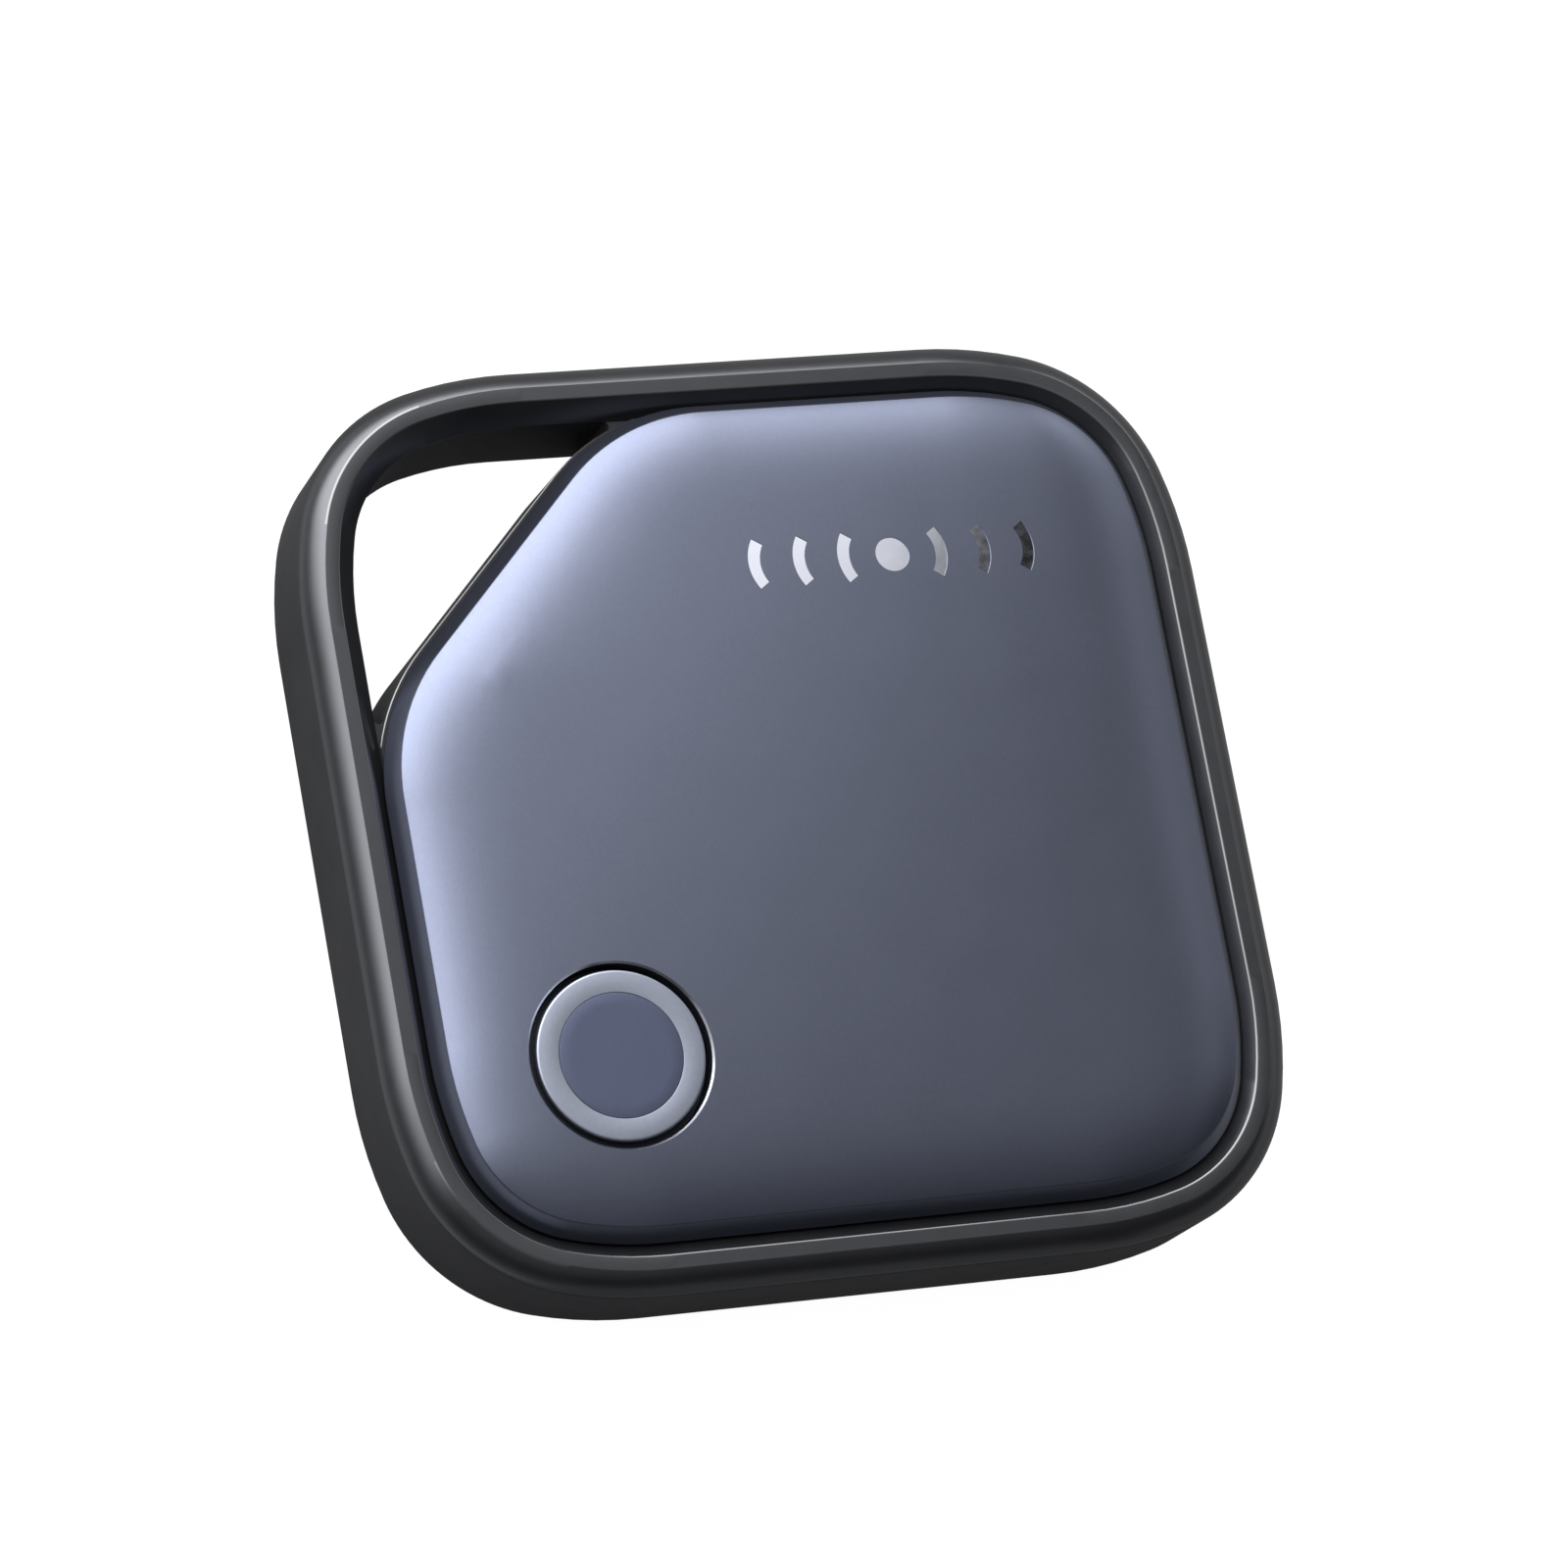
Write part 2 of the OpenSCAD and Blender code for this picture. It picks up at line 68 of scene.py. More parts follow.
HALF = box_mm("rear_housing")[1].x
WALL_Z = box_mm("rear_housing")[0].z
RIM_Z = box_mm("front_bezel")[1].z
SEAM_Z = RIM_Z - 0.85
LIP_Z = box_mm("rear_housing")[1].z
EDGE_Z = RIM_Z + 0.42
FLARE_Z = SEAM_Z + 0.52
TOP_Z = box_mm("front_cover")[1].z
COVER_LOW = box_mm("front_cover")[0].z
BACK_TOP = box_mm("rear_cover")[1].z
BUTTON = centre_mm("button_ring").xy
BUTTON_R = (box_mm("button_ring")[1].x - box_mm("button_ring")[0].x) / 2
DISC_R = (box_mm("button_disc")[1].x - box_mm("button_disc")[0].x) / 2
CARRIER_Z = box_mm("button_ring")[0].z
MARK = centre_mm("signal_mark").xy
CELL = centre_mm("cell_can").xy
PIEZO = centre_mm("piezo_plate").xy
PIEZO_R = (box_mm("piezo_plate")[1].x - box_mm("piezo_plate")[0].x) / 2
BOARD_Z = box_mm("main_pcb")[0].z
DECK_Z = BOARD_Z - 0.3

CORNER_R, SOFT_R, SOFT_A = 7.4, 17.0, 15.0
CORNER_C = HALF - SOFT_R + (SOFT_R - CORNER_R) * math.cos(math.radians(SOFT_A))
SIDE_S = CORNER_C - (SOFT_R - CORNER_R) * math.sin(math.radians(SOFT_A))
DOME_EDGE = HALF - 2.55
CHAMFER_D, CHAMFER_R = 15.03, 8.3
CHAM_Y = DOME_EDGE - CHAMFER_R
CHAM_X = (CHAMFER_D - CHAMFER_R) * math.sqrt(2) - CHAM_Y
LOOP_IN = HALF - 2.26
HOLE_BAR = HALF - 1.9
LIP_IN = HALF - 2.38
BOARD_BAY = HALF - 3.15
BACK_EDGE = HALF - 3.5
SEAL_SEAT = HALF - 4.05
LOWER_BAY = HALF - 4.5
INNER_GAP = 0.05
NOTCH_R = 4
WELL_R, WELL_T = 10.25, 0.75
DECK_HOLE_R = 6
CHAMBER_R, CHAMBER_T, LEDGE_W, LEDGE_Z = PIEZO_R + 0.15, 0.75, 0.8, 3.15
BOSS_R = 1.6
SCREWS = ((-12.0, 2.5), (12.2, 12.2), (11.9, -11.9))


# ---------------------------------------------------------------- outlines


def arc(centre, r, a0, a1, n, first=0):
    angles = [math.radians(a0 + (a1 - a0) * i / n) for i in range(first, n + 1)]
    return [(centre[0] + r * math.cos(a), centre[1] + r * math.sin(a)) for a in angles]


def turned(points, quarter):
    c, s = [(1, 0), (0, 1), (-1, 0), (0, -1)][quarter]
    return [(x * c - y * s, x * s + y * c) for x, y in points]


def corner(a):
    return (
        arc((HALF - SOFT_R, SIDE_S), a - HALF + SOFT_R, 0, SOFT_A, 5)
        + arc((CORNER_C, CORNER_C), a - HALF + CORNER_R, SOFT_A, 90 - SOFT_A, 20, 1)
        + arc((SIDE_S, HALF - SOFT_R), a - HALF + SOFT_R, 90 - SOFT_A, 90, 5, 1)
    )


def chamfer_half(a):
    return arc((-CHAM_X, CHAM_Y), a - CHAM_Y, 90, 135, 14)


def flipped(points):
    return [(-y, -x) for x, y in reversed(points)]


def joined(runs):
    """The runs as one closed outline, with a few points along each straight side between them."""
    points = []
    for run, following in zip(runs, runs[1:] + runs[:1]):
        points += run
        (x0, y0), (x1, y1) = run[-1], following[0]
        length = math.hypot(x1 - x0, y1 - y0)
        if length > 1:
            end = 0.25 / length
            steps = [end] + [end + (1 - 2 * end) * k / 8 for k in range(1, 8)] + [1 - end]
            points += [(x0 + (x1 - x0) * t, y0 + (y1 - y0) * t) for t in steps]
    return points


def frame_outline(a):
    return joined([turned(corner(a), q) for q in range(4)])


def cover_outline(a):
    half = chamfer_half(a)
    return joined([corner(a), half, flipped(half), turned(corner(a), 2), turned(corner(a), 3)])


def loop_outline():
    """The key-ring opening: chamfer side, a rounded tip, the frame's corner, and the other tip."""
    tip_r = 0.22
    tip_y = LOOP_IN - tip_r
    tip_x = -CHAM_X - math.sqrt((HOLE_BAR - CHAM_Y + tip_r) ** 2 - (tip_y - CHAM_Y) ** 2)
    tip_a = math.degrees(math.atan2(CHAM_Y - tip_y, -CHAM_X - tip_x))
    bar = arc((-CHAM_X, CHAM_Y), HOLE_BAR - CHAM_Y, 135, tip_a + 180, 14)
    tip = arc((tip_x, tip_y), tip_r, tip_a, 90, 10, 1)
    outer = turned(corner(LOOP_IN), 1)[:16]
    half = joined([bar + tip, outer])
    half = half[: half.index(outer[-1]) + 1]
    return half + flipped(half)[1:-1]


def offset_at(x, y):
    """How far out the cover outline through (x, y) runs, and its outward direction there."""
    if x < -CHAM_X and y > CHAM_X:
        mirrored = -x > y
        if mirrored:
            x, y = -y, -x
        dx, dy = x + CHAM_X, y - CHAM_Y
        if dx > 0:
            a, n = y, (0.0, 1.0)
        elif dy > -dx:
            r = math.hypot(dx, dy)
            a, n = CHAM_Y + r, (dx / r, dy / r)
        else:
            n = (-math.sqrt(0.5), math.sqrt(0.5))
            a = CHAM_Y + dx * n[0] + dy * n[1]
        return (a, -n[1], -n[0]) if mirrored else (a, n[0], n[1])
    sx, sy = math.copysign(1, x), math.copysign(1, y)
    u, v = abs(x), abs(y)
    swap = v > u
    if swap:
        u, v = v, u
    if v <= SIDE_S:
        a, n = u, (1.0, 0.0)
    else:
        dx, dy = u - HALF + SOFT_R, v - SIDE_S
        if math.degrees(math.atan2(dy, dx)) <= SOFT_A:
            r = math.hypot(dx, dy)
            a, n = HALF - SOFT_R + r, (dx / r, dy / r)
        else:
            dx, dy = u - CORNER_C, v - CORNER_C
            r = max(math.hypot(dx, dy), 1e-6)
            a, n = HALF - CORNER_R + r, (dx / r, dy / r)
            if dx < 0 or dy < 0:
                a, n = u, (1.0, 0.0)
    if swap:
        n = (n[1], n[0])
    return a, n[0] * sx, n[1] * sy


# ---------------------------------------------------------------- meshes


def piece(name, verts, faces, material, body, node, smooth_angle=30, weighted=True):
    """A mesh object in metres that rides on a body and stands for a CAD node."""
    mesh = bpy.data.meshes.new(name)
    mesh.from_pydata([tuple(c * MM for c in v) for v in verts], [], faces)
    return finish_piece(name, mesh, material, body, node, smooth_angle, weighted)


def finish_piece(name, mesh, material, body, node, smooth_angle=30, weighted=True):
    bm = bmesh.new()
    bm.from_mesh(mesh)
    bmesh.ops.remove_doubles(bm, verts=bm.verts, dist=1e-7)
    bmesh.ops.recalc_face_normals(bm, faces=bm.faces)
    limit = math.radians(smooth_angle)
    for e in bm.edges:
        e.smooth = len(e.link_faces) == 2 and e.calc_face_angle(0) < limit
    for f in bm.faces:
        f.smooth = True
    bm.to_mesh(mesh)
    bm.free()
    for m in material if isinstance(material, list) else [material]:
        mesh.materials.append(m)
    obj = bpy.data.objects.new(name, mesh)
    bpy.context.scene.collection.objects.link(obj)
    if weighted:
        w = obj.modifiers.new("weights", "WEIGHTED_NORMAL")
        w.keep_sharp = True
    if body:
        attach(obj, body)
        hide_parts(node)
    return obj


def loft(rings, closed=False, caps=True):
    """Vertices and faces of a surface through rings of equal length, each a list of (x, y, z)."""
    n = len(rings[0])
    verts = [p for r in rings for p in r]
    faces = []
    for k in range(len(rings) - (0 if closed else 1)):
        a, b = k * n, (k + 1) % len(rings) * n
        faces += [(a + i, a + (i + 1) % n, b + (i + 1) % n, b + i) for i in range(n)]
    if caps and not closed:
        faces += [tuple(range(n - 1, -1, -1)), tuple((len(rings) - 1) * n + i for i in range(n))]
    return verts, faces


def at_height(points, z):
    return [(x, y, z) for x, y in points]


def rounded(profile, radii):
    """A closed or open profile with each corner that has a radius turned into a small arc."""
    out = []
    count = len(profile)
    for i, (p, r) in enumerate(zip(profile, radii)):
        if r <= 0:
            out.append(p)
            continue
        a, b = Vector(profile[i - 1]) - Vector(p), Vector(profile[(i + 1) % count]) - Vector(p)
        turn = math.pi - a.angle(b)
        cut = r * math.tan(turn / 2)
        start, end = Vector(p) + a.normalized() * cut, Vector(p) + b.normalized() * cut
        steps = 4
        for k in range(steps + 1):
            t = k / steps
            q = (1 - t) ** 2 * start + 2 * t * (1 - t) * Vector(p) + t**2 * end
            out.append((q.x, q.y))
    return out


def prism(outline, low, high):
    verts, faces = loft([at_height(outline, low), at_height(outline, high)])
    mesh = bpy.data.meshes.new("prism")
    mesh.from_pydata([tuple(c * MM for c in v) for v in verts], [], faces)
    bm = bmesh.new()
    bm.from_mesh(mesh)
    bmesh.ops.recalc_face_normals(bm, faces=bm.faces)
    bm.to_mesh(mesh)
    bm.free()
    return mesh


def circle(centre, r, n=96):
    return [
        (centre[0] + r * math.cos(2 * math.pi * i / n), centre[1] + r * math.sin(2 * math.pi * i / n))
        for i in range(n)
    ]


def combined(mesh, other, operation):
    """The boolean of two meshes, as a new mesh."""
    a, b = (bpy.data.objects.new(n, m) for n, m in (("first", mesh), ("second", other)))
    for o in (a, b):
        bpy.context.scene.collection.objects.link(o)
    mod = a.modifiers.new("boolean", "BOOLEAN")
    mod.solver, mod.operation, mod.object = "EXACT", operation, b
    bpy.context.view_layer.update()
    made = bpy.data.meshes.new_from_object(a.evaluated_get(bpy.context.evaluated_depsgraph_get()))
    for o in (a, b):
        bpy.data.objects.remove(o)
    return made


def revolve(profile, centre, n=128):
    """Rings of points round a centre, one for each (r, z) of the profile."""
    rings = []
    for r, z in profile:
        rings.append([(centre[0] + p[0], centre[1] + p[1], z) for p in circle((0, 0), max(r, 0), n)])
    return rings


def solid_mesh(name, rings):
    """A closed mesh through rings in mm, with its faces turned outwards."""
    verts, faces = loft(rings)
    mesh = bpy.data.meshes.new(name)
    mesh.from_pydata([tuple(c * MM for c in v) for v in verts], [], faces)
    bm = bmesh.new()
    bm.from_mesh(mesh)
    bmesh.ops.recalc_face_normals(bm, faces=bm.faces)
    bm.to_mesh(mesh)
    bm.free()
    return mesh


# ---------------------------------------------------------------- materials


def new_material(name):
    m = bpy.data.materials.new(name)
    m.use_nodes = True
    nodes, links = m.node_tree.nodes, m.node_tree.links
    return m, nodes, links, nodes["Principled BSDF"]


def shader(bsdf, **values):
    names = {
        "color": "Base Color",
        "metallic": "Metallic",
        "rough": "Roughness",
        "coat": "Coat Weight",
        "coat_rough": "Coat Roughness",
        "ior": "IOR",
        "specular": "Specular IOR Level",
        "sheen": "Sheen Weight",
        "sheen_rough": "Sheen Roughness",
        "subsurface": "Subsurface Weight",
    }
    for key, value in values.items():
        socket = bsdf.inputs[names[key]]
        socket.default_value = (*value, 1.0) if key == "color" else value


def noise(nodes, links, scale, detail=3.0, rough=0.5, stretch=(1, 1, 1)):
    coords = nodes.new("ShaderNodeTexCoord")
    mapping = nodes.new("ShaderNodeMapping")
    mapping.inputs["Scale"].default_value = stretch
    tex = nodes.new("ShaderNodeTexNoise")
    tex.inputs["Scale"].default_value = scale
    tex.inputs["Detail"].default_value = detail
    tex.inputs["Roughness"].default_value = rough
    links.new(coords.outputs["Object"], mapping.inputs["Vector"])
    links.new(mapping.outputs["Vector"], tex.inputs["Vector"])
    return tex.outputs["Fac"]


def ramp(nodes, links, source, stops):
    r = nodes.new("ShaderNodeValToRGB")
    r.color_ramp.elements[0].position, r.color_ramp.elements[0].color = stops[0][0], (*stops[0][1], 1)
    r.color_ramp.elements[1].position, r.color_ramp.elements[1].color = stops[-1][0], (*stops[-1][1], 1)
    for pos, col in stops[1:-1]:
        e = r.color_ramp.elements.new(pos)
        e.color = (*col, 1)
    links.new(source, r.inputs["Fac"])
    return r.outputs["Color"]


def spread(nodes, links, source, low, high):
    m = nodes.new("ShaderNodeMapRange")
    m.inputs["To Min"].default_value, m.inputs["To Max"].default_value = low, high
    links.new(source, m.inputs["Value"])
    return m.outputs["Result"]


def bump(nodes, links, bsdf, source, strength, distance):
    b = nodes.new("ShaderNodeBump")
    b.inputs["Strength"].default_value = strength
    b.inputs["Distance"].default_value = distance
    links.new(source, b.inputs["Height"])
    links.new(b.outputs["Normal"], bsdf.inputs["Normal"])
    return b


def tint(colour, k):
    return tuple(min(1.0, c * k) for c in colour)


def moulded(
    name, colour, rough, grain=5200, depth=0.000003, vary=0.10, specular=0.5, strength=0.35,
    gloss=(1, 1, 1),
):
    """Moulded plastic or rubber: fine grain, a little mottle in colour and gloss."""
    m, nodes, links, bsdf = new_material(name)
    shader(bsdf, color=colour, rough=rough, specular=specular)
    bsdf.inputs["Specular Tint"].default_value = (*gloss, 1)
    cloud = noise(nodes, links, 260, 4)
    stops = [(0.3, tint(colour, 1 - vary)), (0.7, tint(colour, 1 + vary))]
    links.new(ramp(nodes, links, cloud, stops), bsdf.inputs["Base Color"])
    haze = spread(nodes, links, noise(nodes, links, 900, 5), rough - 0.05, rough + 0.05)
    links.new(haze, bsdf.inputs["Roughness"])
    bump(nodes, links, bsdf, noise(nodes, links, grain, 2), strength, depth)
    return m


def paint(name, colour, metallic, rough, coat=0.0, coat_rough=0.1, flake=9000):
    """Satin metallic paint: fine flakes shift the colour, and a soft haze shifts the gloss."""
    m, nodes, links, bsdf = new_material(name)
    shader(bsdf, metallic=metallic, rough=rough, coat=coat, coat_rough=coat_rough)
    coords = nodes.new("ShaderNodeTexCoord")
    cells = nodes.new("ShaderNodeTexVoronoi")
    cells.inputs["Scale"].default_value = flake
    links.new(coords.outputs["Object"], cells.inputs["Vector"])
    grey = nodes.new("ShaderNodeRGBToBW")
    links.new(cells.outputs["Color"], grey.inputs["Color"])
    stops = [(0.1, tint(colour, 0.97)), (0.9, tint(colour, 1.03))]
    links.new(ramp(nodes, links, grey.outputs["Val"], stops), bsdf.inputs["Base Color"])
    haze = spread(nodes, links, noise(nodes, links, 420, 3), rough - 0.02, rough + 0.02)
    links.new(haze, bsdf.inputs["Roughness"])
    bump(nodes, links, bsdf, grey.outputs["Val"], 0.03, 0.000002)
    return m


def metal(name, colour, rough, stretch=(1, 1, 1), scale=2500, strength=0.2, vary=0.06):
    """Metal with a fine drawn or blasted surface; stretch sets the direction of the drawing lines."""
    m, nodes, links, bsdf = new_material(name)
    shader(bsdf, metallic=1.0, rough=rough)
    lines = noise(nodes, links, scale, 4, 0.6, stretch)
    stops = [(0.3, tint(colour, 1 - vary)), (0.7, tint(colour, 1 + vary))]
    links.new(ramp(nodes, links, lines, stops), bsdf.inputs["Base Color"])
    haze = spread(nodes, links, lines, max(0.02, rough - 0.05), rough + 0.06)
    links.new(haze, bsdf.inputs["Roughness"])
    bump(nodes, links, bsdf, lines, strength, 0.000002)
    return m


def solder_mask(name):
    """Green board: copper tracks show as raised, lighter lines under the mask."""
    m, nodes, links, bsdf = new_material(name)
    shader(bsdf, rough=0.32, specular=0.5)
    coords = nodes.new("ShaderNodeTexCoord")
    tracks = nodes.new("ShaderNodeTexBrick")
    tracks.inputs["Scale"].default_value = 420
    tracks.inputs["Mortar Size"].default_value = 0.035
    tracks.inputs["Color1"].default_value = (0.010, 0.085, 0.040, 1)
    tracks.inputs["Color2"].default_value = (0.008, 0.070, 0.034, 1)
    tracks.inputs["Mortar"].default_value = (0.022, 0.150, 0.070, 1)
    links.new(coords.outputs["Object"], tracks.inputs["Vector"])
    links.new(tracks.outputs["Color"], bsdf.inputs["Base Color"])
    bump(nodes, links, bsdf, tracks.outputs["Fac"], 0.4, 0.00002)
    return m


def woven(name, colour):
    m, nodes, links, bsdf = new_material(name)
    shader(bsdf, rough=0.7)
    coords = nodes.new("ShaderNodeTexCoord")
    threads = []
    for direction in ("X", "Y"):
        w = nodes.new("ShaderNodeTexWave")
        w.bands_direction = direction
        w.inputs["Scale"].default_value = 2600
        links.new(coords.outputs["Object"], w.inputs["Vector"])
        threads.append(w.outputs["Fac"])
    both = nodes.new("ShaderNodeMath")
    both.operation = "MAXIMUM"
    links.new(threads[0], both.inputs[0])
    links.new(threads[1], both.inputs[1])
    stops = [(0.3, tint(colour, 0.3)), (0.9, tint(colour, 1.3))]
    links.new(ramp(nodes, links, both.outputs["Value"], stops), bsdf.inputs["Base Color"])
    bump(nodes, links, bsdf, both.outputs["Value"], 0.6, 0.00003)
    return m


FRAME_BLACK = (0.0105, 0.0108, 0.0120)
M = {
    "bezel_black": moulded(
        "bezel_black", tint(FRAME_BLACK, 0.65), 0.24, depth=0.0000015, specular=0.65, strength=0.1,
        gloss=(0.9, 0.93, 1),
    ),
    # The housing's black is about three times lighter than the bezel's. This is painted light: it makes
    # up for the light its side walls miss.
    "housing_black": moulded("housing_black", tint(FRAME_BLACK, 1.9), 0.5, specular=0.05),
    "cover_slate": paint("cover_slate", (0.084, 0.093, 0.128), 0.92, 0.30),
    "adhesive": moulded("adhesive", (0.5, 0.48, 0.43), 0.7),
    "mark_polished": metal("mark_polished", (0.52, 0.535, 0.60), 0.09, strength=0.03, vary=0.02),
    "ring_silver": paint("ring_silver", (0.185, 0.20, 0.245), 0.92, 0.38),
    "disc_slate": paint("disc_slate", (0.059, 0.068, 0.108), 0.85, 0.36),
    "inner_black": moulded("inner_black", (0.02, 0.02, 0.021), 0.5),
    "silicone_black": moulded("silicone_black", (0.008, 0.010, 0.016), 0.6, vary=0.2, specular=0.15),
    "switch_black": moulded("switch_black", (0.02, 0.02, 0.022), 0.45),
    "switch_steel": metal("switch_steel", (0.62, 0.62, 0.64), 0.3, (1, 8, 1)),
    "board_green": solder_mask("board_green"),
    "chip_black": moulded("chip_black", (0.017, 0.018, 0.02), 0.5, vary=0.15),
    "crystal_steel": metal("crystal_steel", (0.66, 0.67, 0.69), 0.3, (1, 10, 1)),
    "antenna_white": moulded("antenna_white", (0.72, 0.70, 0.62), 0.5, vary=0.04),
    "ferrite_grey": moulded("ferrite_grey", (0.06, 0.06, 0.068), 0.6, vary=0.15),
    "passive_tan": moulded("passive_tan", (0.33, 0.23, 0.14), 0.45, vary=0.15),
    "pad_gold": metal("pad_gold", (0.83, 0.60, 0.26), 0.3),
    "screw_steel": metal("screw_steel", (0.50, 0.51, 0.53), 0.32),
    "contact_plated": metal("contact_plated", (0.78, 0.68, 0.44), 0.25, (8, 1, 1)),
    "cell_steel": metal("cell_steel", (0.66, 0.67, 0.69), 0.27, (1, 12, 1), vary=0.1),
    "cell_cap_steel": metal("cell_cap_steel", (0.60, 0.61, 0.63), 0.3, (12, 1, 1), vary=0.1),
    "cell_seal": moulded("cell_seal", (0.06, 0.07, 0.1), 0.4),
    "cell_inside": moulded("cell_inside", (0.07, 0.07, 0.08), 0.7, vary=0.2),
    "piezo_brass": metal("piezo_brass", (0.80, 0.62, 0.30), 0.3, (1, 6, 1)),
    "piezo_white": moulded("piezo_white", (0.72, 0.70, 0.62), 0.55, vary=0.05),
    "foam_black": moulded(
        "foam_black", (0.03, 0.03, 0.031), 0.85, grain=3000, depth=0.00003, strength=0.8
    ),
    "pin_gold": metal("pin_gold", (0.83, 0.62, 0.28), 0.25),
    "back_black": moulded(
        "back_black", tint(FRAME_BLACK, 0.85), 0.5, grain=3800, depth=0.000006, strength=0.5
    ),
    "seal_grey": moulded("seal_grey", (0.15, 0.16, 0.18), 0.6),
    "mesh_grey": woven("mesh_grey", (0.10, 0.105, 0.11)),
}
CHAMFER_BRIGHT = metal("chamfer_bright", (0.56, 0.58, 0.64), 0.22, strength=0.02, vary=0.02)
EDGE_GLOSS = moulded(
    "edge_gloss", tint(FRAME_BLACK, 0.85), 0.16, depth=0.000001, specular=1.0, strength=0.05
)

for row in frame["record"]["subparts"]:
    node = frame["nodes"][row["node"]]
    node.data.materials.clear()
    node.data.materials.append(M[row["material_slot"]])


# ---------------------------------------------------------------- frame: bezel and housing


def bead_arc(n):
    """The rim's bead from the seam to the flat top, as points (a, z)."""
    low, high = 28.27, 65.0
    r = 0.9 / (math.cos(math.radians(low)) - math.cos(math.radians(high)))
    centre = (HALF - r * math.cos(math.radians(low)), SEAM_Z - r * math.sin(math.radians(low)))
    return arc(centre, r, low, high, n)


def gloss_edges(thing, chosen):
    """Give the worn, glossier edge material to the sloping faces whose centre, in mm, is chosen."""
    thing.data.materials.append(EDGE_GLOSS)
    for poly in thing.data.polygons:
        if 0.3 < poly.normal.z < 0.999 and chosen(poly.center / MM):
            poly.material_index = 1


def build_bezel():
    flat_in = HALF - 1.46
    bead = bead_arc(14)
    foot = [(HALF - 0.07, SEAM_Z + 0.005), (HALF - 0.02, SEAM_Z + 0.012)]
    profile = [(LOOP_IN, SEAM_Z + 0.005)] + foot + bead[1:]
    profile += [(flat_in, RIM_Z), (LOOP_IN, RIM_Z - flat_in + LOOP_IN)]
    radii = [0.0] * (len(profile) - 3) + [0.05, 0.14, 0.05]
    profile = rounded(profile, radii)
    verts, faces = loft([at_height(frame_outline(a), z) for a, z in profile], closed=True)
    bezel = piece("bezel", verts, faces, M["bezel_black"], "case", "front_bezel", 40)

    def on_crease(c):
        return RIM_Z - 0.05 < c.z < RIM_Z - 0.001 and max(abs(c.x), abs(c.y)) < flat_in + 0.1

    gloss_edges(bezel, on_crease)


def build_housing():
    outer = [
        (HALF - 0.25, WALL_Z), (HALF - 0.16, WALL_Z + 0.04), (HALF - 0.13, WALL_Z + 0.12),
        (HALF, SEAM_Z - 0.05), (HALF - 0.015, SEAM_Z - 0.015), (HALF - 0.07, SEAM_Z),
    ]
    mesh = solid_mesh("housing", [at_height(frame_outline(a), z) for a, z in outer])
    lip_rings = ((HOLE_BAR, SEAM_Z - 0.5), (HOLE_BAR, LIP_Z - 0.03), (HOLE_BAR - 0.04, LIP_Z))
    verts, faces = loft([at_height(cover_outline(a), z) for a, z in lip_rings])
    lip = bpy.data.meshes.new("lip")
    lip.from_pydata([tuple(c * MM for c in v) for v in verts], [], faces)
    lip = combined(lip, prism(frame_outline(LOOP_IN - 0.03), 0, 9), "INTERSECT")
    mesh = combined(mesh, lip, "UNION")
    cuts = [
        prism(cover_outline(LIP_IN), SEAM_Z - 0.2, 9),
        prism(cover_outline(BOARD_BAY), DECK_Z, 9),
        prism(cover_outline(LOWER_BAY), -1, DECK_Z + 0.05),
        prism(cover_outline(SEAL_SEAT), -2, WALL_Z + 0.55),
        prism(loop_outline(), -3, 10),
    ]
    for c in cuts:
        mesh = combined(mesh, c, "DIFFERENCE")
    nail = combined(
        prism(circle((BACK_EDGE + 1.9, 0), NOTCH_R), WALL_Z - 0.3, WALL_Z + 0.69),
        prism([(10, -6), (HALF - 1.2, -6), (HALF - 1.2, 6), (10, 6)], 0, 5),
        "INTERSECT",
    )
    mesh = combined(mesh, nail, "DIFFERENCE")
    housing = finish_piece("housing", mesh, M["housing_black"], "case", "rear_housing", 30)
    gloss_edges(housing, lambda c: LIP_Z - 0.05 < c.z < LIP_Z)


def build_chassis():
    """The deck, and hanging from it the battery well, the sounder's chamber and the bosses."""
    mesh = prism(cover_outline(BOARD_BAY - INNER_GAP), DECK_Z, BOARD_Z)
    for c in (
        prism(circle(CELL, DECK_HOLE_R), DECK_Z - 0.5, BOARD_Z + 0.5),
        prism(circle(PIEZO, CHAMBER_R - LEDGE_W), DECK_Z - 0.4, BOARD_Z + 0.4),
    ):
        mesh = combined(mesh, c, "DIFFERENCE")
    low = BACK_TOP + 0.1
    inner = prism(cover_outline(LOWER_BAY - INNER_GAP), 1, 5)
    walls = [
        (circle(CELL, WELL_R + WELL_T), circle(CELL, WELL_R), low),
        (circle(PIEZO, CHAMBER_R + CHAMBER_T), circle(PIEZO, CHAMBER_R), low),
        (circle(PIEZO, CHAMBER_R + 0.35), circle(PIEZO, CHAMBER_R - LEDGE_W), LEDGE_Z),
    ]
    for big, small, z in walls:
        wall = combined(prism(big, z, DECK_Z + 0.05), prism(small, 0, 9), "DIFFERENCE")
        mesh = combined(mesh, combined(wall, inner, "INTERSECT"), "UNION")
    for screw in SCREWS:
        boss = combined(prism(circle(screw, BOSS_R, 48), low, DECK_Z + 0.05), inner, "INTERSECT")
        mesh = combined(mesh, boss, "UNION")
    finish_piece("chassis", mesh, M["housing_black"], "case", "inner_chassis", 30)


# ---------------------------------------------------------------- cover and mark


ROLL_W, ROLL_H, ROLL_N = 8.0, 0.52, 7.0
PILLOW_H = TOP_Z - EDGE_Z - ROLL_H
BORE_R = BUTTON_R + 0.27
CHAMFER_OUT = BORE_R + 0.08
BORE_N = 128
MARK_DEPTH = 0.25
MESH_EDGE = HALF - 4.8


